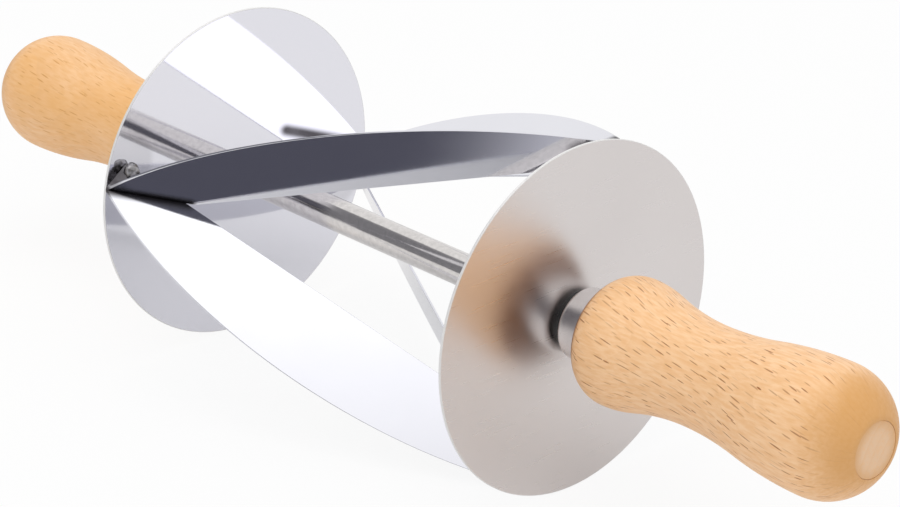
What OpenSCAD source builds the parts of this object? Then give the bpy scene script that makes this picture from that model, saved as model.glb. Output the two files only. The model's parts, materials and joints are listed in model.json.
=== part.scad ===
// Croissant cutter roller: two discs and four slanting blades on a shaft, with a turning handle at each end.
// The shaft lies along X, Z is up and the origin is the middle of the roller. Sizes are in millimetres.

/* [Roller] */
// Diameter of the end discs and of the blades' cutting edges
disc_d = 85; // [76:1:100]
// Thickness of an end disc
disc_t = 0.7; // [0.5:0.1:2]
// Edge break on the rim of a disc
disc_edge = 0.15; // [0.05:0.05:0.3]
// Distance between the inner faces of the discs
roller_w = 118.6; // [90:0.2:150]
// Diameter of the round shaft
shaft_d = 8; // [7:0.5:10]

/* [Blades] */
// Depth of a blade at the middle of its length
blade_depth = 21; // [16:0.5:26]
// Thickness of a blade
blade_t = 0.5; // [0.4:0.1:1.5]
// Angle from straight up to the tips of the top and front blades on the left disc
front_tip_angle = 80; // [60:1:100]
// Angle that the top blade covers round the shaft
top_turn_angle = 87; // [80:1:92]
// Angle that the front blade covers round the shaft
front_turn_angle = 91; // [86:1:96]
// Angle from straight up to the back blade's tip on the right disc
back_tip_angle = -18; // [-24:1:-10]
// Angle that the back blade covers round the shaft
back_turn_angle = 78; // [74:1:86]
// Angle from straight up to the bottom blade's tip on the right disc
bottom_tip_angle = 161; // [156:1:169]
// Angle that the bottom blade covers round the shaft
bottom_turn_angle = 90; // [84:1:96]
// Angle by which the top blade leans out of the shaft's direction
top_lean_angle = 1; // [-5:0.5:5]
// Angle by which the bottom blade leans out of the shaft's direction
bottom_lean_angle = -4.5; // [-5:0.5:5]
// Radius of a weld bead
weld_r = 1.9; // [1:0.1:2.5]

/* [Handles] */
// Length of the wooden handle
handle_len = 78.7; // [74:0.1:100]
// Diameter of the handle at the swelling next to the ferrule
neck_d = 30.6; // [28:0.2:34]
// Diameter of the handle at its waist
waist_d = 23.9; // [21:0.1:26]
// Diameter of the bulb at the outer end
bulb_d = 30.6; // [28:0.2:36]
// Diameter of the flat on the outer end
flat_d = 14.4; // [14:0.2:17]
// Distance from the handle's front to the neck swelling
neck_at = 7.7; // [7.5:0.1:10]
// Distance from the handle's front to the waist
waist_at = 31.3; // [27:0.1:37]
// Distance from the bulb's widest place to the flat end
bulb_back = 13; // [12:0.5:15]
// Width of the wood's front edge that stands out past the collar
front_lip = 0.4; // [0.2:0.1:1]
// Part of the way from neck to waist that curves outwards
neck_share = 0.3; // [0.2:0.02:0.5]
// Part of the way from bulb to waist that curves outwards
bulb_share = 0.54; // [0.3:0.02:0.7]

/* [Ferrules and bearings] */
// Diameter of the ferrule's collar
ferrule_d = 17.2; // [16.6:0.1:18.4]
// Visible length of the ferrule's collar
collar_len = 7.2; // [5:0.1:9]
// Rounding on the collar's front edge
collar_round = 1.4; // [0.6:0.1:1.8]
// Length of the ferrule's spigot inside the wood
spigot_len = 15; // [10:0.5:18]
// Wall of the ferrule's spigot
spigot_wall = 2.5; // [2:0.1:3.5]
// Length of the bearing sleeve near the shaft's end
sleeve_len = 14; // [10:0.5:18]
// Wall of the bearing sleeve
sleeve_wall = 1.5; // [1.4:0.1:2]
// Distance from the handle's outer end to the sleeve's outer face
sleeve_back = 25.5; // [22:0.5:30]
// Gap round the shaft in the wood between the bearings
bore_gap = 0.6; // [0.4:0.1:1.2]
// Radial running clearance of a bearing on the shaft
run_gap = 0.05; // [0.03:0.01:0.09]
// Thickness of the thrust washer between disc and ferrule
thrust_t = 1.2; // [0.8:0.1:2.5]
// Width of the thrust washer's face
thrust_wall = 3; // [2:0.1:4]
// Axial play of a handle, at each bearing face
end_play = 0.3; // [0.25:0.05:0.5]

/* [Retaining screws] */
// Diameter of the screw's thread
screw_d = 5; // [4:0.5:5]
// Length of the screw below its head
screw_len = 12; // [9:0.5:14]
// Depth of the tapped hole past the screw's tip
tap_over = 2; // [1:0.5:5]
// Diameter of the screw's head
head_d = 8.5; // [8:0.1:9]
// Height of the screw's head
head_h = 3.2; // [2.6:0.2:4]
// Width across the corners of the hexagon socket
socket_d = 4.6; // [3.4:0.1:5]
// Depth of the hexagon socket
socket_h = 1.9; // [1:0.1:2.2]
// Thickness of the retaining washer
washer_t = 1; // [0.8:0.1:1.6]
// Width of the washer's edge that stands out past the shaft
washer_lip = 1; // [0.7:0.1:1.2]
// Gap round the screw in the washer
washer_gap = 0.1; // [0.05:0.05:0.3]
// Length of the wooden plug that closes the bore
plug_len = 8; // [5:0.5:10]
// Width of the handle's edge round the plug
plug_lip = 0.6; // [0.4:0.1:0.6]

/* [Hidden] */
disc_r = disc_d / 2;
shaft_r = shaft_d / 2;
half_w = roller_w / 2;
face_x = half_w + disc_t;                       // outer face of a disc
blade_in = disc_r - blade_depth;                // inner edge of a blade, from the shaft's axis
big = 2 * (roller_w + disc_d);

// angles of each blade's left and right tips, from straight up towards the front
top_tips = [front_tip_angle, front_tip_angle - top_turn_angle];
front_tips = [front_tip_angle, front_tip_angle + front_turn_angle];
back_tips = [back_tip_angle - back_turn_angle, back_tip_angle];
bottom_tips = [bottom_tip_angle + bottom_turn_angle, bottom_tip_angle];
function middle(tips) = (tips[0] + tips[1]) / 2;
// slope of a blade to the shaft, as its sideways run per millimetre
function slope(tips) = disc_r * sin((tips[0] - tips[1]) / 2) / half_w;
// sideways place of the bead that touches a blade's right end
function bead_y(tips) = half_w * slope(tips) + (weld_r + blade_t / 2) * sqrt(1 + slope(tips) ^ 2);
// height of a blade's tips above the shaft's axis, with the blade's middle straight up
function tip_z(tips) = disc_r * cos((tips[0] - tips[1]) / 2);

run_r = shaft_r + run_gap;                      // bore of ferrule and sleeve
spigot_r = shaft_r + spigot_wall;
clear_r = shaft_r + bore_gap;                   // bore of the wood between the bearings
sleeve_r = shaft_r + sleeve_wall;               // outside of the sleeve, bore of the wood behind it
thrust_r = shaft_r + thrust_wall;
washer_r = shaft_r + washer_lip;
screw_r = screw_d / 2;

collar_z = thrust_t + end_play;                 // distances from a disc's outer face, outwards
wood_z = collar_z + collar_len;
neck_z = wood_z + neck_at;
waist_z = wood_z + waist_at;
end_z = wood_z + handle_len;
bulb_z = end_z - bulb_back;
spigot_z = wood_z + spigot_len;
sleeve_z = end_z - sleeve_back - sleeve_len;
shaft_z = end_z - sleeve_back + end_play;       // end of the shaft
head_z = shaft_z + washer_t;
plug_z = end_z - plug_len;

front_r = ferrule_d / 2 + front_lip;
neck_r = neck_d / 2;
waist_r = waist_d / 2;
bulb_r = bulb_d / 2;
flat_r = flat_d / 2;
plug_r = flat_r - plug_lip;
// radius of the arc that drops by h over the length l from a level start
function arc(l, h) = (l * l + h * h) / (2 * h);
front_arc = arc(neck_at, neck_r - front_r);
neck_sum = arc(waist_z - neck_z, neck_r - waist_r);
neck_arc = neck_share * neck_sum;
neck_join = neck_z + neck_share * (waist_z - neck_z);
bulb_sum = arc(bulb_z - waist_z, bulb_r - waist_r);
bulb_arc = bulb_share * bulb_sum;
bulb_join = bulb_z - bulb_share * (bulb_z - waist_z);
end_arc = arc(bulb_back, bulb_r - flat_r);
lap = 2;                                        // arcs run on under the next one, so no step is left
seam = 0.003;                                   // and this makes them cross there

steel = [0.78, 0.78, 0.79];
wood = [0.93, 0.74, 0.52];
nylon = [0.05, 0.05, 0.05];
$fn = 120;

// stands a shape that was turned about Z on the right disc's outer face
module right() {
    translate([face_x, 0, 0]) rotate([0, 90, 0]) children();
}

module left() {
    mirror([1, 0, 0]) right() children();
}

module ring(inner_r, outer_r, z0, z1) {
    rotate_extrude() translate([inner_r, z0]) square([outer_r - inner_r, z1 - z0]);
}

// end disc, from its inner face at 0 to its outer face
module disc() {
    rotate_extrude() polygon([[shaft_r, 0], [disc_r - disc_edge, 0], [disc_r, disc_edge],
        [disc_r, disc_t - disc_edge], [disc_r - disc_edge, disc_t], [shaft_r, disc_t]]);
}

// turns a shape from straight up to the middle of a blade
module at(tips) {
    rotate([middle(tips), 0, 0]) children();
}

// turns a shape to the slant of a blade
module slanted(tips) {
    rotate([0, 0, atan(slope(tips))]) children();
}

// one flat blade, with its middle straight up, which leans about the line between its tips
module blade(tips, lean = 0) {
    intersection() {
        slanted(tips) translate([0, 0, tip_z(tips)]) rotate([lean, 0, 0])
            translate([-big / 2, -blade_t / 2, blade_in - tip_z(tips)]) cube([big, blade_t, disc_r]);
        rotate([0, 90, 0]) cylinder(r = disc_r, h = roller_w, center = true);
    }
}

// everything past the facing side of an upright blade, seen from ahead (1) or from behind (-1)
module past(tips, way) {
    slanted(tips) translate([-big / 2, way > 0 ? blade_t / 2 - big : -blade_t / 2, -big / 2]) cube(big);
}

// blade that ends on the neighbours ahead and behind
module butted_blade(tips, lean, ahead, behind) {
    difference() {
        at(tips) blade(tips, lean);
        at(ahead) past(ahead, 1);
        at(behind) past(behind, -1);
    }
}

// domed bead on the disc at end 1 (right) or -1 (left), against a through blade by its inner edge
module bead(tips, end) {
    translate([end * half_w, end * bead_y(tips), blade_in]) rotate([0, -90 * end, 0])
        rotate_extrude() intersection() {
            circle(r = weld_r);
            square(weld_r);
        }
}

module strip(z0, z1, w) {
    translate([0, z0]) square([w, z1 - z0]);
}

// part of the handle's outline that swells to radius r at height z
module swell(z0, z1, z, r, a) {
    intersection() {
        strip(z0, z1, r + 1);
        translate([r - a, z]) circle(r = a);
    }
    if (r > a) strip(z0, z1, r - a);
}

// part of the handle's outline that narrows to radius r at height z
module narrow(z0, z1, z, r, a) {
    difference() {
        strip(z0, z1, r + a);
        translate([r + a, z]) circle(r = a);
    }
}

module handle() {
    rotate_extrude() difference() {
        union() {
            swell(wood_z, neck_z + lap, neck_z, neck_r + seam, front_arc);
            swell(neck_z, neck_join + lap, neck_z, neck_r, neck_arc);
            narrow(neck_join, waist_z, waist_z, waist_r - 2 * seam, neck_sum - neck_arc);
            narrow(waist_z - lap, bulb_join, waist_z, waist_r - seam, bulb_sum - bulb_arc);
            swell(bulb_join - lap, bulb_z, bulb_z, bulb_r, bulb_arc);
            swell(bulb_z - lap, end_z, bulb_z, bulb_r + seam, end_arc);
        }
        strip(0, spigot_z, spigot_r);
        strip(0, end_z, clear_r);
        strip(sleeve_z, end_z, sleeve_r);
        strip(plug_z, end_z + 1, plug_r);
    }
}

module ferrule() {
    rotate_extrude() difference() {
        union() {
            strip(collar_z + collar_round, wood_z, ferrule_d / 2);
            strip(collar_z, wood_z, ferrule_d / 2 - collar_round);
            translate([ferrule_d / 2 - collar_round, collar_z + collar_round]) circle(r = collar_round);
            strip(wood_z, spigot_z, spigot_r);
        }
        strip(0, end_z, run_r);
    }
}

module shaft_bar() {
    difference() {
        rotate([0, 90, 0]) cylinder(r = shaft_r, h = 2 * (face_x + shaft_z), center = true);
        for (m = [0, 1]) mirror([m, 0, 0]) right()
            translate([0, 0, head_z - screw_len - tap_over]) cylinder(r = screw_r, h = screw_len + tap_over);
    }
}

module screw() {
    difference() {
        union() {
            translate([0, 0, head_z]) cylinder(d = head_d, h = head_h);
            translate([0, 0, head_z - screw_len]) cylinder(r = screw_r, h = screw_len + head_h / 2);
        }
        translate([0, 0, head_z + head_h - socket_h]) cylinder(d = socket_d, h = head_h, $fn = 6);
    }
}

module left_disc() color(steel) translate([-half_w, 0, 0]) rotate([0, -90, 0]) disc();
module right_disc() color(steel) translate([half_w, 0, 0]) rotate([0, 90, 0]) disc();
module shaft() color(steel) shaft_bar();
module top_blade() color(steel) butted_blade(top_tips, top_lean_angle, front_tips, back_tips);
module bottom_blade() color(steel) butted_blade(bottom_tips, bottom_lean_angle, back_tips, front_tips);
module front_blade() color(steel) at(front_tips) blade(front_tips);
module back_blade() color(steel) at(back_tips) blade(back_tips);
module weld_beads() color(steel) for (tips = [front_tips, back_tips], end = [-1, 1]) at(tips) bead(tips, end);
module left_thrust_washer() color(nylon) left() ring(shaft_r, thrust_r, 0, thrust_t);
module right_thrust_washer() color(nylon) right() ring(shaft_r, thrust_r, 0, thrust_t);
module left_ferrule() color(steel) left() ferrule();
module right_ferrule() color(steel) right() ferrule();
module left_handle() color(wood) left() handle();
module right_handle() color(wood) right() handle();
module left_sleeve() color(nylon) left() ring(run_r, sleeve_r, sleeve_z, sleeve_z + sleeve_len);
module right_sleeve() color(nylon) right() ring(run_r, sleeve_r, sleeve_z, sleeve_z + sleeve_len);
module left_washer() color(steel) left() ring(screw_r + washer_gap, washer_r, shaft_z, head_z);
module right_washer() color(steel) right() ring(screw_r + washer_gap, washer_r, shaft_z, head_z);
module left_screw() color(steel) left() screw();
module right_screw() color(steel) right() screw();
module left_plug() color(wood) left() translate([0, 0, plug_z]) cylinder(r = plug_r, h = plug_len);
module right_plug() color(wood) right() translate([0, 0, plug_z]) cylinder(r = plug_r, h = plug_len);

left_disc();
right_disc();
shaft();
top_blade();
bottom_blade();
front_blade();
back_blade();
weld_beads();
left_thrust_washer();
right_thrust_washer();
left_ferrule();
right_ferrule();
left_handle();
right_handle();
left_sleeve();
right_sleeve();
left_washer();
right_washer();
left_screw();
right_screw();
left_plug();
right_plug();
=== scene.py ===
import json
import math
import bpy
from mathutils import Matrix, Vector

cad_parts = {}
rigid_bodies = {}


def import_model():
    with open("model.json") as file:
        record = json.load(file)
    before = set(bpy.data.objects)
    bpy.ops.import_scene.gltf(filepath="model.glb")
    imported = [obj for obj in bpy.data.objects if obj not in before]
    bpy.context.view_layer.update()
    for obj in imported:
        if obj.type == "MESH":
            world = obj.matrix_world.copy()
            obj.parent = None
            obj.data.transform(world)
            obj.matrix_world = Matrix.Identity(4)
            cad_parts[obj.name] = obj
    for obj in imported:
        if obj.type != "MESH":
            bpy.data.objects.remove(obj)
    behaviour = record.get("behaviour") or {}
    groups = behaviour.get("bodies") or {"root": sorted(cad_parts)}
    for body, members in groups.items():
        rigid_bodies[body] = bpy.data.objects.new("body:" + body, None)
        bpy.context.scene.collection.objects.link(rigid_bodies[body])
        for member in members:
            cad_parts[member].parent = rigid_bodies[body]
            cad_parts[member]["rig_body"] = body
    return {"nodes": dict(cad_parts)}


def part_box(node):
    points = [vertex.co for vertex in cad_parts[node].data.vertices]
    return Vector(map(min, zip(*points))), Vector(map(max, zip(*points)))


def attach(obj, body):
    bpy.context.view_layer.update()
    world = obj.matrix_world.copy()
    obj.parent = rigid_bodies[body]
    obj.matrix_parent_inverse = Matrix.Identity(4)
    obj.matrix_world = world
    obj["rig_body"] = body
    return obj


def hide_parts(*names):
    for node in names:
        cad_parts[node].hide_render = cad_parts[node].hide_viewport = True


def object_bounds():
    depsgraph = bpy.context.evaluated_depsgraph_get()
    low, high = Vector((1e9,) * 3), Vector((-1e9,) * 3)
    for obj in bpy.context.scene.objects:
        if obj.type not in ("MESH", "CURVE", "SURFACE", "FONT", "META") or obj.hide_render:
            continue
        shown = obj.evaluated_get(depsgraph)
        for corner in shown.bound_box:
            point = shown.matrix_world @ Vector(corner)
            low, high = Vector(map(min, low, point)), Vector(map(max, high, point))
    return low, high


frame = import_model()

mm = 0.001
mergeGap = 0.002 * mm  # points of a mesh that lie closer than this are one point
ringGap = 0.01 * mm  # how near a point has to lie to a ring to be part of it
noiseSpan = (0.3, 0.7)  # where most of a noise's values lie
nodes = frame["nodes"]
cadLow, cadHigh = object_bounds()  # the CAD box, before anything is added
print("frame loaded with", len(nodes), "nodes")


# camera, at the photograph's viewing angle
camera = {
    "lens": 127.965,  # on the 36 mm wide sensor
    "sensor": 36.0,
    "place": (0.51755, -0.47020, 0.31014),
    "looks": (-0.66453, 0.62544, -0.40892),
    "nearest": 10 * mm,
}
bpy.ops.object.camera_add(location=camera["place"])
cameraObject = bpy.context.object
cameraObject.name = "productCamera"
cameraObject.rotation_euler = Vector(camera["looks"]).to_track_quat("-Z", "Y").to_euler()
cameraObject.data.lens = camera["lens"]
cameraObject.data.sensor_width = camera["sensor"]
cameraObject.data.clip_start = camera["nearest"]
bpy.context.scene.camera = cameraObject
bpy.context.scene.view_settings.view_transform = "Standard"
print("camera placed")


# small modelling tools
def deselectAll():
    if bpy.context.mode != "OBJECT":
        bpy.ops.object.mode_set(mode="OBJECT")
    bpy.ops.object.select_all(action="DESELECT")


def makeActive(piece):
    deselectAll()
    piece.select_set(True)
    bpy.context.view_layer.objects.active = piece


def arcPoints(centre, start, end, count):  # points on the short arc after start, up to end
    radius = math.dist(centre, start)
    fromAngle = math.atan2(start[1] - centre[1], start[0] - centre[0])
    toAngle = math.atan2(end[1] - centre[1], end[0] - centre[0])
    sweep = (toAngle - fromAngle + math.pi) % (2 * math.pi) - math.pi
    angles = [fromAngle + sweep * step / count for step in range(1, count + 1)]
    return [(centre[0] + radius * math.cos(a), centre[1] + radius * math.sin(a)) for a in angles]


def mirrored(outline, side):
    return [(x if side == "right" else -x, r) for x, r in outline]


def turnOutline(name, outline, steps):  # an outline of (x, radius) points, spun about the shaft's axis
    deselectAll()
    bpy.ops.mesh.primitive_plane_add(size=mm)
    piece = bpy.context.object
    piece.name = name
    piece.data.name = name
    bpy.ops.object.mode_set(mode="EDIT")
    bpy.ops.mesh.select_mode(type="VERT")
    bpy.ops.mesh.select_all(action="SELECT")
    bpy.ops.mesh.merge(type="CENTER")
    bpy.ops.transform.translate(value=(outline[0][0], 0, outline[0][1]))
    for (x0, r0), (x1, r1) in zip(outline, outline[1:]):
        bpy.ops.mesh.extrude_vertices_move(TRANSFORM_OT_translate={"value": (x1 - x0, 0, r1 - r0)})
    bpy.ops.mesh.select_all(action="SELECT")
    bpy.ops.mesh.spin(steps=steps, angle=2 * math.pi, center=(0, 0, 0), axis=(1, 0, 0))
    bpy.ops.mesh.select_all(action="SELECT")
    bpy.ops.mesh.remove_doubles(threshold=mergeGap)
    bpy.ops.mesh.normals_make_consistent(inside=False)
    bpy.ops.object.mode_set(mode="OBJECT")
    return piece


def bevelRings(piece, rings, width, segments):  # rounds the turned edges that lie at (x, radius)
    makeActive(piece)
    bpy.ops.object.mode_set(mode="EDIT")
    bpy.ops.mesh.select_mode(type="EDGE")
    bpy.ops.mesh.select_all(action="DESELECT")
    bpy.ops.object.mode_set(mode="OBJECT")
    places = [(v.co.x, math.hypot(v.co.y, v.co.z)) for v in piece.data.vertices]
    for edge in piece.data.edges:
        ends = [places[index] for index in edge.vertices]
        edge.select = any(all(math.dist(end, ring) < ringGap for end in ends) for ring in rings)
    bpy.ops.object.mode_set(mode="EDIT")
    bpy.ops.mesh.bevel(offset=width, segments=segments, profile=0.5, affect="EDGES")
    bpy.ops.object.mode_set(mode="OBJECT")


def smoothByAngle(piece, degrees):  # smooth shading that leaves the large flat faces flat
    makeActive(piece)
    bpy.ops.object.shade_smooth_by_angle(angle=math.radians(degrees))
    weighted = piece.modifiers.new("flatFaces", "WEIGHTED_NORMAL")
    weighted.mode = "FACE_AREA"
    weighted.weight = 100
    weighted.keep_sharp = True
    bpy.ops.object.modifier_apply(modifier="flatFaces")


def finishPiece(piece, node, material):  # gives the piece its node's place and finish
    piece.data.materials.clear()
    piece.data.materials.append(material)
    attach(piece, nodes[node]["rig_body"])
    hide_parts(node)


def turnPair(name, node, material, turned, outline, rounds):  # the left piece and its mirror image
    for side in ("left", "right"):
        piece = turnOutline(side + name, mirrored(outline, side), turned["turns"])
        for rings, width, segments in rounds:
            bevelRings(piece, mirrored(rings, side), width, segments)
        smoothByAngle(piece, turned["smooth"])
        finishPiece(piece, side + node, material)


# small material tools
def addNode(tree, kind, inputs=None, **settings):
    made = tree.nodes.new(kind)
    for key, value in settings.items():
        setattr(made, key, value)
    for key, value in (inputs or {}).items():
        if isinstance(value, bpy.types.NodeSocket):
            tree.links.new(value, made.inputs[key])
        else:
            made.inputs[key].default_value = value
    return made


def calc(tree, operation, first, second=0.0, third=0.0):
    made = addNode(tree, "ShaderNodeMath", {0: first, 1: second, 2: third}, operation=operation)
    return made.outputs[0]


def vectorCalc(tree, operation, first, second=(0, 0, 0)):
    made = addNode(tree, "ShaderNodeVectorMath", {0: first, 1: second}, operation=operation)
    return made.outputs["Value" if operation in ("LENGTH", "DOT_PRODUCT") else "Vector"]


def tint(tree, factor, first, second):
    made = addNode(tree, "ShaderNodeMix", {0: factor, 6: first, 7: second}, data_type="RGBA")
    return made.outputs[2]


def rangeOf(tree, value, low, high, toLow, toHigh, soft=False):
    made = addNode(tree, "ShaderNodeMapRange", {0: value, 1: low, 2: high, 3: toLow, 4: toHigh})
    made.interpolation_type = "SMOOTHSTEP" if soft else "LINEAR"
    return made.outputs[0]


def noise(tree, place, scale, detail):
    made = addNode(tree, "ShaderNodeTexNoise", {"Vector": place, "Scale": scale, "Detail": detail})
    return made.outputs["Fac"]


def newMaterial(name):
    material = bpy.data.materials.new(name)
    material.use_nodes = True
    tree = material.node_tree
    return material, tree, tree.nodes["Principled BSDF"]


def newGroup(name, inputs, outputs):
    tree = bpy.data.node_groups.new(name, "ShaderNodeTree")
    for label, kind in inputs:
        tree.interface.new_socket(label, in_out="INPUT", socket_type=kind)
    for label in outputs:
        tree.interface.new_socket(label, in_out="OUTPUT", socket_type="NodeSocketFloat")
    return tree, tree.nodes.new("NodeGroupInput").outputs, tree.nodes.new("NodeGroupOutput").inputs


def useGroup(tree, group, inputs):
    return addNode(tree, "ShaderNodeGroup", inputs, node_tree=group).outputs


def objectPlace(tree):
    return tree.nodes.new("ShaderNodeTexCoord").outputs["Object"]


def fromAxis(tree, place):  # distance from the shaft's axis
    return vectorCalc(tree, "LENGTH", vectorCalc(tree, "MULTIPLY", place, (0, 1, 1)))


def fromPoint(tree, place, point):  # distance from a point
    return vectorCalc(tree, "LENGTH", vectorCalc(tree, "SUBTRACT", place, point))


def bump(tree, height, distance, strength=1.0):
    made = addNode(tree, "ShaderNodeBump", {"Height": height, "Distance": distance, "Strength": strength})
    return made.outputs["Normal"]


# weld beads on the discs, against the through blades
weld = {
    "radius": 1.75 * mm, "aside": 2.4 * mm,  # the lump beside the blade
    "wrap": 2.0 * mm, "wrapAlong": 2.3 * mm, "wrapIn": 1.0 * mm,  # the one that wraps round its edge
    "segments": 48, "rings": 24, "smooth": 50,
    "lump": 0.75 * mm, "lumpSize": 0.9 * mm, "lumpLevel": 0.6,  # how uneven they are
    "bladeDepth": 21 * mm,
    "tips": ((80, 171), (-96, -18)),  # degrees from straight up to a through blade's left and right tips
    "heatFrom": 9.0 * mm, "heatTo": 6.5 * mm,  # the heat mark round a bead
    "seam": 21 * mm, "seamFrom": 2.6 * mm, "seamTo": 0.5 * mm,  # where a trimmed blade is welded on; its heat tint is deepened there into painted shade in the crease between the blades
    "seamAlong": 0.913, "seamIn": 0.408,  # the seam's course on the through blade, from its tip
    "cornerShadeIn": 4.2 * mm, "cornerShadeFrom": 3.3 * mm, "cornerShadeTo": 2.5 * mm,  # painted shade on the disc, in the corner where the blades meet it
}


def beadPlace(end, tips, aside):
    discLow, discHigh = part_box("right_disc")
    y0 = end * (discHigh.z * math.sin(math.radians(tips[0] - tips[1]) / 2) + aside)
    z0 = discHigh.z - weld["bladeDepth"]
    turn = math.radians(tips[0] + tips[1]) / 2
    y = y0 * math.cos(turn) - z0 * math.sin(turn)
    z = y0 * math.sin(turn) + z0 * math.cos(turn)
    return Vector((end * discLow.x, y, z))


def bladeWays(tips):  # a through blade's directions, along it to the right and out to its cutting edge
    run = (beadPlace(1, tips, 0) - beadPlace(-1, tips, 0)).normalized()
    turn = math.radians(tips[0] + tips[1]) / 2
    return run, Vector((0, -math.sin(turn), math.cos(turn)))


def wrapPlace(end, tips):  # a little along the blade from the disc, and out from its inner edge
    run, out = bladeWays(tips)
    return beadPlace(end, tips, 0) - end * weld["wrapAlong"] * run + weld["wrapIn"] * out


def seamLine(end, tips):  # the tip where a trimmed blade's seam starts, and the seam's direction
    discLow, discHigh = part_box("right_disc")
    angle = math.radians(tips[0] if end < 0 else tips[1])
    tip = Vector((end * discLow.x, -discHigh.z * math.sin(angle), discHigh.z * math.cos(angle)))
    run, out = bladeWays(tips)
    return tip, -end * weld["seamAlong"] * run - weld["seamIn"] * out


# shared effects: the streaks and clouds of worked steel, the heat marks of welding with painted shade along
# the seams and in the corners where the blades meet, and the figure of beech
finishDetail = {"streak": 3.0, "cloud": 2.0}


def steelFinishGroup():
    tree, given, made = newGroup("steelFinish", [
        ("Vector", "NodeSocketVector"), ("Stretch", "NodeSocketVector"), ("Cloud Scale", "NodeSocketFloat"),
    ], ["Streak", "Cloud"])
    stretched = vectorCalc(tree, "MULTIPLY", given["Vector"], given["Stretch"])
    tree.links.new(noise(tree, stretched, 1.0, finishDetail["streak"]), made["Streak"])
    tree.links.new(noise(tree, given["Vector"], given["Cloud Scale"], finishDetail["cloud"]), made["Cloud"])
    return tree


def weldHeatGroup():  # masks of the heat round the welds, with painted shade along the seams, and of the painted shade spots in the corners on the discs
    tree, given, made = newGroup("weldHeat", [("Vector", "NodeSocketVector")], ["Heat", "CornerShade"])
    place = given["Vector"]
    heatAndShade, cornerShade = 0.0, 0.0
    for tips in weld["tips"]:
        for end in (-1, 1):
            fromBead = fromPoint(tree, place, beadPlace(end, tips, 0))
            near = rangeOf(tree, fromBead, weld["heatFrom"], weld["heatTo"], 0.0, 1.0, soft=True)
            tip, way = seamLine(end, tips)
            fromTip = vectorCalc(tree, "SUBTRACT", place, tip)
            along = calc(tree, "MAXIMUM", vectorCalc(tree, "DOT_PRODUCT", fromTip, way), 0.0)
            along = calc(tree, "MINIMUM", along, weld["seam"])
            aside = vectorCalc(tree, "SUBTRACT", fromTip, vectorCalc(tree, "MULTIPLY", along, way))
            aside = vectorCalc(tree, "LENGTH", aside)
            seam = rangeOf(tree, aside, weld["seamFrom"], weld["seamTo"], 0.0, 1.0, soft=True)
            heatAndShade = calc(tree, "MAXIMUM", calc(tree, "MAXIMUM", near, seam), heatAndShade)
            fromSpot = fromPoint(tree, place, tip - weld["cornerShadeIn"] * bladeWays(tips)[1])
            cornerSpot = rangeOf(tree, fromSpot, weld["cornerShadeFrom"], weld["cornerShadeTo"], 0.0, 1.0, soft=True)
            cornerShade = calc(tree, "MAXIMUM", cornerSpot, cornerShade)
    tree.links.new(heatAndShade, made["Heat"])
    tree.links.new(cornerShade, made["CornerShade"])
    return tree


beechFigure = {
    "fleckPitch": 4.6 * mm,  # spacing of the ray flecks along the handle
    "fleckGap": 1.45 * mm,  # and round it
    "slant": (-0.09, 0.17),  # the grain runs a little aslant, on the left handle and on the right
    "fleckLength": (0.18, 0.46), "fleckWidth": (0.07, 0.13),  # halves, as parts of those spacings
    "fleckEdge": (0.3, 1.2), "fleckDepth": (0.15, 1.0), "fleckRare": 1.3,  # few flecks are the darkest
    "unrollRadius": 13.5 * mm,
    "wander": 0.8 * mm,  # how far a row of flecks strays sideways
    "driftScale": 70.0, "driftDetail": 1.0, "patchScale": 38.0, "patchDetail": 2.0,
    "fibres": (240, 1400, 1400), "fibreDetail": 4.0,
    "pith": (0, 31 * mm, -24 * mm),  # heart of the tree, beside the handle
    "ringWidth": 2.6 * mm, "ringTaper": (0.12, 1, 1), "ringWaver": 2.2 * mm,
    "ringRise": 3.0,  # a slow rise to a sharp late-wood line
}


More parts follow.
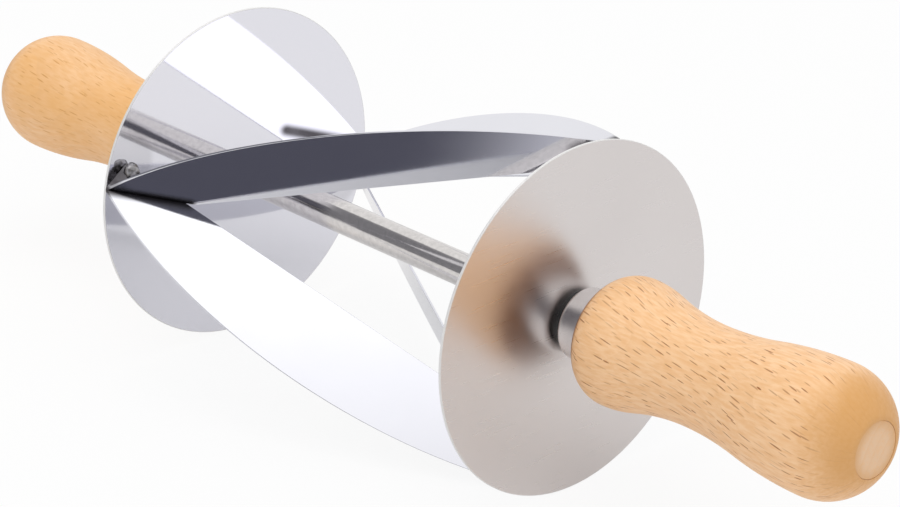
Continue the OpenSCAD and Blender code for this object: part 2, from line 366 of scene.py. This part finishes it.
def beechFigureGroup():
    b = beechFigure
    tree, given, made = newGroup("beechFigure", [("Vector", "NodeSocketVector")],
        ["Fleck", "Fibre", "Ring", "Patch"])
    place = given["Vector"]
    xyz = addNode(tree, "ShaderNodeSeparateXYZ", {0: place}).outputs
    drift = noise(tree, place, b["driftScale"], b["driftDetail"])
    angle = calc(tree, "ARCTAN2", xyz["Y"], xyz["Z"])
    arc = calc(tree, "MULTIPLY_ADD", angle, b["unrollRadius"], calc(tree, "MULTIPLY", drift, b["wander"]))
    slant = rangeOf(tree, calc(tree, "GREATER_THAN", xyz["X"], 0.0), 0.0, 1.0, *b["slant"])
    arc = calc(tree, "MULTIPLY_ADD", calc(tree, "ABSOLUTE", xyz["X"]), slant, arc)
    along = calc(tree, "DIVIDE", xyz["X"], b["fleckPitch"])
    around = calc(tree, "DIVIDE", arc, b["fleckGap"])
    unrolled = addNode(tree, "ShaderNodeCombineXYZ", {0: along, 1: around}).outputs[0]
    cell = addNode(tree, "ShaderNodeTexVoronoi", {"Vector": unrolled, "Scale": 1.0, "Randomness": 1.0},
        voronoi_dimensions="2D")
    chance = addNode(tree, "ShaderNodeSeparateColor", {0: cell.outputs["Color"]}).outputs
    offset = vectorCalc(tree, "SUBTRACT", unrolled, cell.outputs["Position"])
    off = addNode(tree, "ShaderNodeSeparateXYZ", {0: offset}).outputs
    halfLength = rangeOf(tree, chance[0], 0.0, 1.0, *b["fleckLength"])
    halfWidth = rangeOf(tree, chance[1], 0.0, 1.0, *b["fleckWidth"])
    lengthwise = calc(tree, "POWER", calc(tree, "DIVIDE", off["X"], halfLength), 2.0)
    sideways = calc(tree, "POWER", calc(tree, "DIVIDE", off["Y"], halfWidth), 2.0)
    reach = calc(tree, "ADD", lengthwise, sideways)
    shape = rangeOf(tree, reach, *b["fleckEdge"], 1.0, 0.0, soft=True)
    depth = rangeOf(tree, calc(tree, "POWER", chance[2], b["fleckRare"]), 0.0, 1.0, *b["fleckDepth"])
    fleck = calc(tree, "MULTIPLY", shape, depth)

    fibre = noise(tree, vectorCalc(tree, "MULTIPLY", place, b["fibres"]), 1.0, b["fibreDetail"])

    fromPith = vectorCalc(tree, "SUBTRACT", place, b["pith"])
    distance = vectorCalc(tree, "LENGTH", vectorCalc(tree, "MULTIPLY", fromPith, b["ringTaper"]))
    waver = calc(tree, "MULTIPLY", drift, b["ringWaver"])
    turns = calc(tree, "DIVIDE", calc(tree, "ADD", distance, waver), b["ringWidth"])
    ring = calc(tree, "POWER", calc(tree, "FRACT", turns), b["ringRise"])
    patch = noise(tree, place, b["patchScale"], b["patchDetail"])
    for label, socket in (("Fleck", fleck), ("Fibre", fibre), ("Ring", ring), ("Patch", patch)):
        tree.links.new(socket, made[label])
    return tree


steelFinish = steelFinishGroup()
weldHeat = weldHeatGroup()
beech = beechFigureGroup()
print("shared effects made")


# steels
heatAndShadeLook = {"streaks": (0.35, 0.6), "cover": (0.94, 1.0), "roughens": 0.12}  # marks by the weld beads, and painted shade along the seams


def finishOf(tree, look):
    return useGroup(tree, steelFinish,
        {"Vector": objectPlace(tree), "Stretch": look["stretch"], "Cloud Scale": look["cloudScale"]})


def makeSteel(name, look):
    material, tree, shader = newMaterial(name)
    finish = finishOf(tree, look)
    dark = tuple(c * (1 - look["mottle"]) for c in look["color"])
    color = tint(tree, finish["Cloud"], (*look["color"], 1), (*dark, 1))
    streaky = calc(tree, "MULTIPLY_ADD", finish["Streak"], look["streak"], look["roughness"])
    rough = calc(tree, "MULTIPLY_ADD", finish["Cloud"], look["smudge"], streaky)
    if "burnt" in look:
        # heat tint round the beads, and painted shade along the seams where the blades meet
        heatAndShade = useGroup(tree, weldHeat, {"Vector": objectPlace(tree)})["Heat"]
        cover = rangeOf(tree, finish["Streak"], *heatAndShadeLook["streaks"], *heatAndShadeLook["cover"])
        heatAndShade = calc(tree, "MULTIPLY", heatAndShade, cover)
        color = tint(tree, heatAndShade, color, (*look["burnt"], 1))
        rough = calc(tree, "MULTIPLY_ADD", heatAndShade, heatAndShadeLook["roughens"], rough)
    tree.links.new(color, shader.inputs["Base Color"])
    tree.links.new(rough, shader.inputs["Roughness"])
    tree.links.new(bump(tree, finish["Streak"], look["bump"]), shader.inputs["Normal"])
    shader.inputs["Metallic"].default_value = 1.0
    return material


bladeSteel = makeSteel("bladeSteel", {
    "color": (0.77, 0.77, 0.82), "mottle": 0.05, "roughness": 0.03, "streak": 0.03, "smudge": 0.03,
    "stretch": (60, 300, 300), "cloudScale": 60.0, "bump": 0.0006 * mm,
    # burnt: heat tint round the beads, and painted shade along the seams where the blades meet
    "burnt": (0.07, 0.065, 0.07),
})
shaftSteel = makeSteel("shaftSteel", {
    "color": (0.80, 0.77, 0.755), "mottle": 0.30, "roughness": 0.07, "streak": 0.08, "smudge": 0.06,
    "stretch": (350, 2500, 2500), "cloudScale": 900.0, "bump": 0.004 * mm,
})
ferruleSteel = makeSteel("ferruleSteel", {
    "color": (0.88, 0.855, 0.85), "mottle": 0.22, "roughness": 0.10, "streak": 0.10, "smudge": 0.06,
    "stretch": (6000, 60, 60), "cloudScale": 300.0, "bump": 0.003 * mm,
})
screwSteel = makeSteel("screwSteel", {
    "color": (0.55, 0.55, 0.56), "mottle": 0.15, "roughness": 0.28, "streak": 0.10, "smudge": 0.08,
    "stretch": (3000, 200, 200), "cloudScale": 300.0, "bump": 0.002 * mm,
})

discLook = {
    "polished": (0.80, 0.795, 0.85), "polishedRoughness": 0.04,  # the inner side
    "satin": (0.74, 0.70, 0.69), "satinShade": (0.69, 0.65, 0.64),  # the outer side
    "satinRoughness": 0.24, "satinStreak": 0.10, "brushed": 0.75,
    "stretch": (100, 60, 2600), "cloudScale": 30.0, "bump": 0.0006 * mm,
    "rim": (0.80, 0.79, 0.785), "rimFrom": 0.3 * mm, "rimFull": 0.09 * mm,  # a pale sheared edge
    "rimRoughens": 0.3, "rimMetallic": 0.3,
    # burnt: heat stain round the beads, and painted shade in the corners where the blades meet the disc
    "burnt": (0.16, 0.15, 0.155), "heatShare": 0.2,
}


def makeDiscSteel():
    d = discLook
    material, tree, shader = newMaterial("discSteel")
    place = objectPlace(tree)
    finish = finishOf(tree, d)
    discLow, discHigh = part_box("right_disc")
    fromMiddle = calc(tree, "ABSOLUTE", addNode(tree, "ShaderNodeSeparateXYZ", {0: place}).outputs["X"])
    outer = calc(tree, "GREATER_THAN", fromMiddle, (discLow.x + discHigh.x) / 2)
    satin = tint(tree, finish["Cloud"], (*d["satin"], 1), (*d["satinShade"], 1))
    sided = tint(tree, outer, (*d["polished"], 1), satin)
    toRim = calc(tree, "SUBTRACT", discHigh.z, fromAxis(tree, place))
    rim = rangeOf(tree, toRim, d["rimFrom"], d["rimFull"], 0.0, 1.0)
    welded = useGroup(tree, weldHeat, {"Vector": place})
    # heat stain and painted shade in the blade corners, on the inner side only
    stainAndShade = calc(tree, "MAXIMUM", calc(tree, "MULTIPLY", welded["Heat"], d["heatShare"]), welded["CornerShade"])
    stainAndShade = calc(tree, "MULTIPLY", stainAndShade, calc(tree, "SUBTRACT", 1.0, outer))
    stainedAndShaded = tint(tree, stainAndShade, sided, (*d["burnt"], 1))
    tree.links.new(tint(tree, rim, stainedAndShaded, (*d["rim"], 1)), shader.inputs["Base Color"])
    satinRough = calc(tree, "MULTIPLY_ADD", finish["Streak"], d["satinStreak"], d["satinRoughness"])
    rough = addNode(tree, "ShaderNodeMix", {0: outer, 2: d["polishedRoughness"], 3: satinRough}).outputs[0]
    tree.links.new(calc(tree, "MULTIPLY_ADD", rim, d["rimRoughens"], rough), shader.inputs["Roughness"])
    tree.links.new(rangeOf(tree, rim, 0.0, 1.0, 1.0, d["rimMetallic"]), shader.inputs["Metallic"])
    height = calc(tree, "MULTIPLY", finish["Streak"], outer)
    tree.links.new(bump(tree, height, d["bump"]), shader.inputs["Normal"])
    grain = addNode(tree, "ShaderNodeTangent", direction_type="RADIAL", axis="Y")  # brushed side to side
    tree.links.new(grain.outputs[0], shader.inputs["Tangent"])
    shader.inputs["Anisotropic"].default_value = d["brushed"]
    return material


weldLook = {
    "bright": (0.50, 0.49, 0.50), "burnt": (0.07, 0.065, 0.07), "clouds": (0.35, 0.65),
    "straw": (0.30, 0.24, 0.18), "strawStreaks": (0.5, 0.7), "strawShare": 0.4,
    "roughness": (0.3, 0.6), "stretch": (1500, 1500, 1500), "cloudScale": 500.0, "bump": 0.05 * mm,
}


def makeWeldSteel():
    w = weldLook
    material, tree, shader = newMaterial("weldSteel")
    finish = finishOf(tree, w)
    clean = rangeOf(tree, finish["Cloud"], *w["clouds"], 0.0, 1.0)
    color = tint(tree, clean, (*w["burnt"], 1), (*w["bright"], 1))
    straw = rangeOf(tree, finish["Streak"], *w["strawStreaks"], 0.0, w["strawShare"])
    tree.links.new(tint(tree, straw, color, (*w["straw"], 1)), shader.inputs["Base Color"])
    rough = rangeOf(tree, finish["Streak"], *noiseSpan, *w["roughness"])
    tree.links.new(rough, shader.inputs["Roughness"])
    tree.links.new(bump(tree, finish["Streak"], w["bump"]), shader.inputs["Normal"])
    shader.inputs["Metallic"].default_value = 1.0
    return material


nylonLook = {
    "black": (0.012, 0.012, 0.013), "dull": (0.03, 0.03, 0.031), "roughness": (0.38, 0.55),
    "stretch": (4000, 900, 900), "cloudScale": 400.0, "bump": 0.01 * mm,
}


def makeNylon():
    material, tree, shader = newMaterial("blackNylon")
    finish = finishOf(tree, nylonLook)
    color = tint(tree, finish["Cloud"], (*nylonLook["black"], 1), (*nylonLook["dull"], 1))
    tree.links.new(color, shader.inputs["Base Color"])
    rough = rangeOf(tree, finish["Streak"], *noiseSpan, *nylonLook["roughness"])
    tree.links.new(rough, shader.inputs["Roughness"])
    tree.links.new(bump(tree, finish["Streak"], nylonLook["bump"]), shader.inputs["Normal"])
    return material


# lacquered beech, and its end grain on the plugs
beechLook = {
    "light": (0.95, 0.615, 0.35), "deep": (0.88, 0.515, 0.25), "fibreSpan": (0.36, 0.64),
    "late": (0.80, 0.45, 0.20), "lateShare": 0.25,
    "warm": (0.86, 0.45, 0.135), "warmSpan": (0.35, 0.65), "warmShare": (0.2, 0.8),  # on the left handle
    "fleck": (0.33, 0.09, 0.008), "fleckShare": 0.95,
    "warmFleck": (0.62, 0.25, 0.03), "warmFleckShare": 0.7,  # also on the left one
    "honey": (0.68, 0.335, 0.09), "honeyShare": 0.82, "honeyRagged": 16 * mm,
    "honeyFrom": 10.5 * mm, "honeyTo": 1.5 * mm,  # distances from the outer end
    "honeyHides": 1.1, "fleckLeast": 0.1,  # flecks fade in the honey tone, but not wholly
    "front": (0.30, 0.105, 0.02), "frontShadeFrom": 4 * mm, "frontShadeTo": 2 * mm,  # painted shade on the wood's front where it meets the ferrule; distances from the ferrule
    "roughness": (0.40, 0.53), "coat": 0.08, "coatRoughness": 0.30,
    "fleckHeight": -0.3, "fibreHeight": 0.5, "bump": 0.03 * mm, "bumpStrength": 0.6,
}


def lacquer(shader):
    shader.inputs["Coat Weight"].default_value = beechLook["coat"]
    shader.inputs["Coat Roughness"].default_value = beechLook["coatRoughness"]


def makeBeech():
    b = beechLook
    material, tree, shader = newMaterial("lacqueredBeech")
    place = objectPlace(tree)
    figure = useGroup(tree, beech, {"Vector": place})
    fibre = rangeOf(tree, figure["Fibre"], *b["fibreSpan"], 0.0, 1.0)
    plain = tint(tree, fibre, (*b["light"], 1), (*b["deep"], 1))
    along = addNode(tree, "ShaderNodeSeparateXYZ", {0: place}).outputs["X"]
    left = calc(tree, "LESS_THAN", along, 0.0)
    warmth = calc(tree, "MULTIPLY", left, rangeOf(tree, figure["Patch"], *b["warmSpan"], *b["warmShare"]))
    toned = tint(tree, warmth, plain, (*b["warm"], 1))
    banded = tint(tree, calc(tree, "MULTIPLY", figure["Ring"], b["lateShare"]), toned, (*b["late"], 1))
    fromMiddle = calc(tree, "ABSOLUTE", along)
    toEnd = calc(tree, "SUBTRACT", cadHigh.x, fromMiddle)
    ragged = calc(tree, "SUBTRACT", toEnd, b["honeyRagged"] / 2)
    ragged = calc(tree, "MULTIPLY_ADD", figure["Patch"], b["honeyRagged"], ragged)
    endTone = rangeOf(tree, ragged, b["honeyFrom"], b["honeyTo"], 0.0, b["honeyShare"], soft=True)
    # painted shade on the front of the wood, next to the ferrule, where the handle faces the disc
    fromFront = calc(tree, "SUBTRACT", fromMiddle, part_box("right_handle")[0].x)
    frontShade = rangeOf(tree, fromFront, b["frontShadeFrom"], b["frontShadeTo"], 0.0, 1.0, soft=True)
    # the honey tone of the soaked end grain, over the painted shade at the front
    soakedAndShaded = tint(tree, endTone, tint(tree, frontShade, banded, (*b["front"], 1)), (*b["honey"], 1))
    shown = calc(tree, "SUBTRACT", 1.0, calc(tree, "MULTIPLY", endTone, b["honeyHides"]))
    marks = calc(tree, "MULTIPLY", figure["Fleck"], calc(tree, "MAXIMUM", shown, b["fleckLeast"]))
    fleckColor = tint(tree, left, (*b["fleck"], 1), (*b["warmFleck"], 1))
    share = rangeOf(tree, left, 0.0, 1.0, b["fleckShare"], b["warmFleckShare"])
    marked = tint(tree, calc(tree, "MULTIPLY", marks, share), soakedAndShaded, fleckColor)
    tree.links.new(marked, shader.inputs["Base Color"])
    rough = rangeOf(tree, figure["Fibre"], *noiseSpan, *b["roughness"])
    tree.links.new(rough, shader.inputs["Roughness"])
    height = calc(tree, "MULTIPLY", figure["Fibre"], b["fibreHeight"])
    height = calc(tree, "MULTIPLY_ADD", figure["Fleck"], b["fleckHeight"], height)
    tree.links.new(bump(tree, height, b["bump"], b["bumpStrength"]), shader.inputs["Normal"])
    lacquer(shader)
    return material


endGrainLook = {
    "color": (0.84, 0.56, 0.345), "lateShare": 0.3, "poreSpan": (0.45, 0.75), "poreShare": 0.5,
    "rimFrom": 3.5 * mm, "rimTo": 7 * mm, "rimShare": 0.6,  # lacquer has soaked in round the rim
    "roughness": (0.42, 0.55), "bump": 0.02 * mm, "bumpStrength": 0.5,
}


def makeEndGrain():
    b, e = beechLook, endGrainLook
    material, tree, shader = newMaterial("beechEndGrain")
    place = objectPlace(tree)
    figure = useGroup(tree, beech, {"Vector": place})
    late = calc(tree, "MULTIPLY", figure["Ring"], e["lateShare"])
    ringed = tint(tree, late, (*e["color"], 1), (*b["late"], 1))
    pores = rangeOf(tree, figure["Fibre"], *e["poreSpan"], 0.0, e["poreShare"])
    porous = tint(tree, pores, ringed, (*b["deep"], 1))
    rim = rangeOf(tree, fromAxis(tree, place), e["rimFrom"], e["rimTo"], 0.0, e["rimShare"], soft=True)
    tree.links.new(tint(tree, rim, porous, (*b["honey"], 1)), shader.inputs["Base Color"])
    rough = rangeOf(tree, figure["Fibre"], *noiseSpan, *e["roughness"])
    tree.links.new(rough, shader.inputs["Roughness"])
    tree.links.new(bump(tree, figure["Fibre"], e["bump"], e["bumpStrength"]), shader.inputs["Normal"])
    lacquer(shader)
    return material


discSteel = makeDiscSteel()
weldSteel = makeWeldSteel()
blackNylon = makeNylon()
lacqueredBeech = makeBeech()
beechEndGrain = makeEndGrain()
print("materials made:", len(bpy.data.materials))


# CAD nodes that keep their own mesh
def dressNode(name, material):
    piece = nodes[name]
    for slot in piece.material_slots:
        slot.material = material


for side in ("left", "right"):
    dressNode(side + "_sleeve", blackNylon)
    dressNode(side + "_washer", screwSteel)
    dressNode(side + "_screw", screwSteel)


# turned handles
handle = {
    "neckAt": 7.7 * mm, "waistAt": 31.3 * mm, "bulbBack": 13 * mm,  # places along the handle
    "frontLip": 0.4 * mm, "neckR": 15.3 * mm, "waistR": 11.95 * mm, "flatR": 7.2 * mm,
    "neckShare": 0.3, "bulbShare": 0.54,  # how much of each curve swells outwards
    "spigotR": 6.5 * mm, "clearR": 4.6 * mm,
    "arcSteps": (16, 6, 10, 10, 10, 18), "turns": 128, "smooth": 40,
    "endRound": 0.6 * mm, "endSegments": 4, "frontRound": 0.35 * mm, "frontSegments": 3,
}


def dropArc(length, drop):  # radius of an arc that drops that far over the length from a level start
    return (length * length + drop * drop) / (2 * drop)


def handleOutline():  # closed outline of the right handle: outside to the end, back along the bores
    h = handle
    low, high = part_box("right_handle")
    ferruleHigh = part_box("right_ferrule")[1]
    sleeveLow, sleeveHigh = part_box("right_sleeve")
    plugLow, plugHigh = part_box("right_plug")
    front = (low.x, ferruleHigh.z + h["frontLip"])
    neck = (low.x + h["neckAt"], h["neckR"])
    waist = (low.x + h["waistAt"], h["waistR"])
    bulb = (high.x - h["bulbBack"], high.z)
    end = (high.x, h["flatR"])
    frontArc = dropArc(neck[0] - front[0], neck[1] - front[1])
    endArc = dropArc(end[0] - bulb[0], bulb[1] - end[1])
    neckSum = dropArc(waist[0] - neck[0], neck[1] - waist[1])
    bulbSum = dropArc(bulb[0] - waist[0], bulb[1] - waist[1])
    neckJoin = tuple(n + h["neckShare"] * (w - n) for n, w in zip(neck, waist))
    bulbJoin = tuple(n + h["bulbShare"] * (w - n) for n, w in zip(bulb, waist))
    arcs = (  # centre, start and end of each
        ((neck[0], neck[1] - frontArc), front, neck),
        ((neck[0], neck[1] - h["neckShare"] * neckSum), neck, neckJoin),
        ((waist[0], waist[1] + (1 - h["neckShare"]) * neckSum), neckJoin, waist),
        ((waist[0], waist[1] + (1 - h["bulbShare"]) * bulbSum), waist, bulbJoin),
        ((bulb[0], bulb[1] - h["bulbShare"] * bulbSum), bulbJoin, bulb),
        ((bulb[0], bulb[1] - endArc), bulb, end),
    )
    outline = [front]
    for arc, steps in zip(arcs, h["arcSteps"]):
        outline += arcPoints(*arc, steps)
    outline += [(high.x, plugHigh.z), (plugLow.x, plugHigh.z), (plugLow.x, sleeveHigh.z)]
    outline += [(sleeveLow.x, sleeveHigh.z), (sleeveLow.x, h["clearR"]), (ferruleHigh.x, h["clearR"])]
    outline += [(ferruleHigh.x, h["spigotR"]), (front[0], h["spigotR"]), front]
    return outline, front, end


outline, front, end = handleOutline()
turnPair("Handle", "_handle", lacqueredBeech, handle, outline, (
    ([end], handle["endRound"], handle["endSegments"]),
    ([front], handle["frontRound"], handle["frontSegments"]),
))
print("handles turned")


# wooden plugs in the handles' outer ends
plug = {"rim": 0.25 * mm, "rimSegments": 2, "turns": 96, "smooth": 40}
low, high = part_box("right_plug")
outline = [(low.x, 0), (low.x, high.z), (high.x, high.z), (high.x, 0)]
turnPair("Plug", "_plug", beechEndGrain, plug, outline, (
    ([(high.x, high.z), (low.x, high.z)], plug["rim"], plug["rimSegments"]),
))


# steel ferrules with a rounded collar and a spigot in the wood
ferrule = {
    "collarLength": 7.2 * mm, "boreR": 4.05 * mm, "turns": 128, "smooth": 40,
    "frontRound": 1.4 * mm, "frontSegments": 6, "backBreak": 0.2 * mm, "backSegments": 2,
}
low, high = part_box("right_ferrule")
shoulder = low.x + ferrule["collarLength"]
outline = [(low.x, ferrule["boreR"]), (low.x, high.z), (shoulder, high.z), (shoulder, handle["spigotR"])]
outline += [(high.x, handle["spigotR"]), (high.x, ferrule["boreR"]), (low.x, ferrule["boreR"])]
turnPair("Ferrule", "_ferrule", ferruleSteel, ferrule, outline, (
    ([(low.x, high.z)], ferrule["frontRound"], ferrule["frontSegments"]),
    ([(shoulder, high.z)], ferrule["backBreak"], ferrule["backSegments"]),
))
print("ferrules turned")


# black thrust washers between disc and ferrule
thrust = {"edge": 0.3 * mm, "edgeSegments": 3, "turns": 96, "smooth": 40}
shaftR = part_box("shaft")[1].z


def ringOutline(low, high):  # a flat ring on the shaft
    return [(low.x, shaftR), (low.x, high.z), (high.x, high.z), (high.x, shaftR), (low.x, shaftR)]


low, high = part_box("right_thrust_washer")
turnPair("ThrustWasher", "_thrust_washer", blackNylon, thrust, ringOutline(low, high), (
    ([(high.x, high.z)], thrust["edge"], thrust["edgeSegments"]),
))


# shaft with a tapped hole in each end
shaft = {
    "tapR": 2.5 * mm, "tapDepth": 13 * mm, "chamfer": 0.3 * mm, "chamferSegments": 1,
    "turns": 96, "smooth": 30,
}
low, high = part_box("shaft")
half = [(high.x - shaft["tapDepth"], 0), (high.x - shaft["tapDepth"], shaft["tapR"])]
half += [(high.x, shaft["tapR"]), (high.x, high.z)]
outline = half + mirrored(half, "left")[::-1]
piece = turnOutline("shaftBar", outline, shaft["turns"])
bevelRings(piece, [(high.x, high.z), (low.x, high.z)], shaft["chamfer"], shaft["chamferSegments"])
smoothByAngle(piece, shaft["smooth"])
finishPiece(piece, "shaft", shaftSteel)
print("shaft turned")


# end discs with a softly broken rim
disc = {"rimRound": 0.18 * mm, "rimSegments": 3, "turns": 256, "smooth": 30}
low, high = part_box("right_disc")
turnPair("Disc", "_disc", discSteel, disc, ringOutline(low, high), (
    ([(low.x, high.z), (high.x, high.z)], disc["rimRound"], disc["rimSegments"]),
))
print("discs turned")


# blades: the flat sheets with their sheared edges softened
blade = {
    "edgeBreak": 0.1 * mm, "segments": 2,
    "flatWithin": 0.5, "edgeOver": 40, "smooth": 30,  # degrees
}
for name in ("top", "bottom", "front", "back"):
    node = name + "_blade"
    piece = bpy.data.objects.new(name + "Blade", nodes[node].data.copy())
    bpy.context.scene.collection.objects.link(piece)
    makeActive(piece)
    bpy.ops.object.mode_set(mode="EDIT")
    bpy.ops.mesh.select_all(action="SELECT")
    bpy.ops.mesh.remove_doubles(threshold=mergeGap)
    bpy.ops.mesh.customdata_custom_splitnormals_clear()
    bpy.ops.mesh.dissolve_limited(angle_limit=math.radians(blade["flatWithin"]))
    bpy.ops.object.mode_set(mode="OBJECT")
    bevel = piece.modifiers.new("edgeBreak", "BEVEL")
    bevel.width = blade["edgeBreak"]
    bevel.segments = blade["segments"]
    bevel.limit_method = "ANGLE"
    bevel.angle_limit = math.radians(blade["edgeOver"])
    bpy.ops.object.modifier_apply(modifier="edgeBreak")
    smoothByAngle(piece, blade["smooth"])
    finishPiece(piece, node, bladeSteel)
print("blades softened")


# weld beads: two lumps each, cut off at the disc
def weldLump(place, radius, discSide):
    deselectAll()
    bpy.ops.mesh.primitive_uv_sphere_add(segments=weld["segments"], ring_count=weld["rings"],
        radius=radius, location=place)
    bpy.ops.object.transform_apply(location=True, rotation=True, scale=True)
    lump = bpy.context.object
    bpy.ops.object.mode_set(mode="EDIT")
    bpy.ops.mesh.select_all(action="SELECT")
    outward = (math.copysign(1, place[0]), 0, 0)
    bpy.ops.mesh.bisect(plane_co=(discSide, 0, 0), plane_no=outward, use_fill=True, clear_outer=True)
    bpy.ops.object.mode_set(mode="OBJECT")
    return lump


beads = []
for tips in weld["tips"]:
    for end in (-1, 1):
        place = beadPlace(end, tips, weld["aside"])
        beads.append(weldLump(place, weld["radius"], place.x))
        beads.append(weldLump(wrapPlace(end, tips), weld["wrap"], place.x))
makeActive(beads[0])
for bead in beads:
    bead.select_set(True)
bpy.ops.object.join()
piece = bpy.context.object
piece.name = "weldBeads"
piece.data.name = "weldBeads"
bpy.ops.object.transform_apply(location=True, rotation=True, scale=True)
lumps = bpy.data.textures.new("weldLumps", "CLOUDS")
lumps.noise_scale = weld["lumpSize"]
displace = piece.modifiers.new("lumps", "DISPLACE")
displace.texture = lumps
displace.strength = weld["lump"]
displace.mid_level = weld["lumpLevel"]
bpy.ops.object.modifier_apply(modifier="lumps")
smoothByAngle(piece, weld["smooth"])
finishPiece(piece, "weld_beads", weldSteel)
print("weld beads laid")


# white sweep and soft light, with the dark side of the room where the camera stands
studio = {
    "floorSize": 8.0, "floorColor": (0.86, 0.86, 0.86, 1), "shadowShare": 0.10, "mirroredShare": 0.70,
    "worldLevel": 0.70, "boxSize": 1.1, "boxPlace": (0.24, -0.46, 1.25), "boxPower": 5.0,
    "topSize": 0.8, "topPlace": (0.05, 0.12, 1.35), "topPower": 3.5,
    "brightToward": (-0.0073, -0.2078, 0.9781), "brightGlow": 0.75, "brightReach": (19, 2),
    "white": (1, 1, 1, 1), "darkColor": (0.115, 0.115, 0.14, 1),
    "darkPanels": (  # strength, heading, and where the sides, top and foot start and are full, in degrees
        (1.0, -76, (16.8, 13.2), (56, 50), (0.1, 1.2)),
        (1.0, -43, (15, 12), (56, 49), (-2, -1)),
        (0.86, -150, (28, 24), (52, 48), (-2, -1)),
    ),
}


def layFloor():
    deselectAll()
    bpy.ops.mesh.primitive_plane_add(size=studio["floorSize"], location=(0, 0, cadLow.z))
    floor = bpy.context.object
    floor.name = "floor"
    material, tree, shader = newMaterial("whiteSweep")
    tree.nodes.remove(shader)
    matt = addNode(tree, "ShaderNodeBsdfDiffuse", {"Color": studio["floorColor"]}).outputs[0]
    white = addNode(tree, "ShaderNodeEmission", {"Color": studio["white"], "Strength": 1.0}).outputs[0]
    path = tree.nodes.new("ShaderNodeLightPath").outputs
    seen = calc(tree, "MAXIMUM", path["Is Camera Ray"], path["Is Transmission Ray"])
    direct = calc(tree, "MULTIPLY", seen, 1 - studio["shadowShare"])
    glow = calc(tree, "MULTIPLY_ADD", path["Is Glossy Ray"], 1 - studio["mirroredShare"], direct)
    mixed = addNode(tree, "ShaderNodeMixShader", {0: glow, 1: matt, 2: white}).outputs[0]
    tree.links.new(mixed, tree.nodes["Material Output"].inputs["Surface"])
    floor.data.materials.append(material)


def darkPanels(tree):  # mask of the dark panels round the tent, by the direction in which a ray leaves
    direction = tree.nodes.new("ShaderNodeTexCoord").outputs["Generated"]
    up = addNode(tree, "ShaderNodeSeparateXYZ", {0: direction}).outputs["Z"]
    level = vectorCalc(tree, "NORMALIZE", vectorCalc(tree, "MULTIPLY", direction, (1, 1, 0)))
    mask = 0.0
    for strength, heading, sides, top, foot in studio["darkPanels"]:
        toward = (math.cos(math.radians(heading)), math.sin(math.radians(heading)), 0)
        ahead = vectorCalc(tree, "DOT_PRODUCT", level, toward)
        sides = [math.cos(math.radians(a)) for a in sides]
        top, foot = [[math.sin(math.radians(a)) for a in pair] for pair in (top, foot)]
        across = rangeOf(tree, ahead, sides[0], sides[1], 0.0, 1.0, soft=True)
        above = rangeOf(tree, up, foot[0], foot[1], 0.0, 1.0, soft=True)
        below = rangeOf(tree, up, top[1], top[0], 1.0, 0.0, soft=True)
        panel = calc(tree, "MULTIPLY", calc(tree, "MULTIPLY", across, above), below)
        panel = calc(tree, "MULTIPLY", panel, strength)
        mask = calc(tree, "MAXIMUM", panel, mask)
    return mask


def brightPart(tree):  # mask of the brightest part of the white tent, nearly overhead
    direction = tree.nodes.new("ShaderNodeTexCoord").outputs["Generated"]
    toward = vectorCalc(tree, "DOT_PRODUCT", direction, studio["brightToward"])
    reach = [math.cos(math.radians(a)) for a in studio["brightReach"]]
    return rangeOf(tree, toward, reach[0], reach[1], 0.0, 1.0, soft=True)


def setWorld():
    world = bpy.data.worlds.new("studioWorld")
    bpy.context.scene.world = world
    world.use_nodes = True
    tree = world.node_tree
    background = tree.nodes["Background"]
    path = tree.nodes.new("ShaderNodeLightPath").outputs
    seen = calc(tree, "MAXIMUM", path["Is Camera Ray"], path["Is Glossy Ray"])
    seen = calc(tree, "MAXIMUM", seen, path["Is Transmission Ray"])
    level = rangeOf(tree, seen, 0.0, 1.0, studio["worldLevel"], 1.0)
    glow = calc(tree, "MULTIPLY", path["Is Glossy Ray"], brightPart(tree))
    strength = calc(tree, "MULTIPLY_ADD", glow, studio["brightGlow"], level)
    tree.links.new(strength, background.inputs["Strength"])
    panels = calc(tree, "MULTIPLY", path["Is Glossy Ray"], darkPanels(tree))  # they show only in mirrors
    tree.links.new(tint(tree, panels, studio["white"], studio["darkColor"]), background.inputs["Color"])


def hangLamp(name, part):  # a square lamp that faces the roller
    bpy.ops.object.light_add(type="AREA", location=studio[part + "Place"])
    lamp = bpy.context.object
    lamp.name = name
    lamp.data.size = studio[part + "Size"]
    lamp.data.energy = studio[part + "Power"]
    lamp.visible_glossy = False  # mirrors show the tent instead
    lamp.rotation_euler = (-lamp.location).to_track_quat("-Z", "Y").to_euler()


layFloor()
setWorld()
hangLamp("softbox", "box")
hangLamp("overheadBox", "top")
print("studio set up")
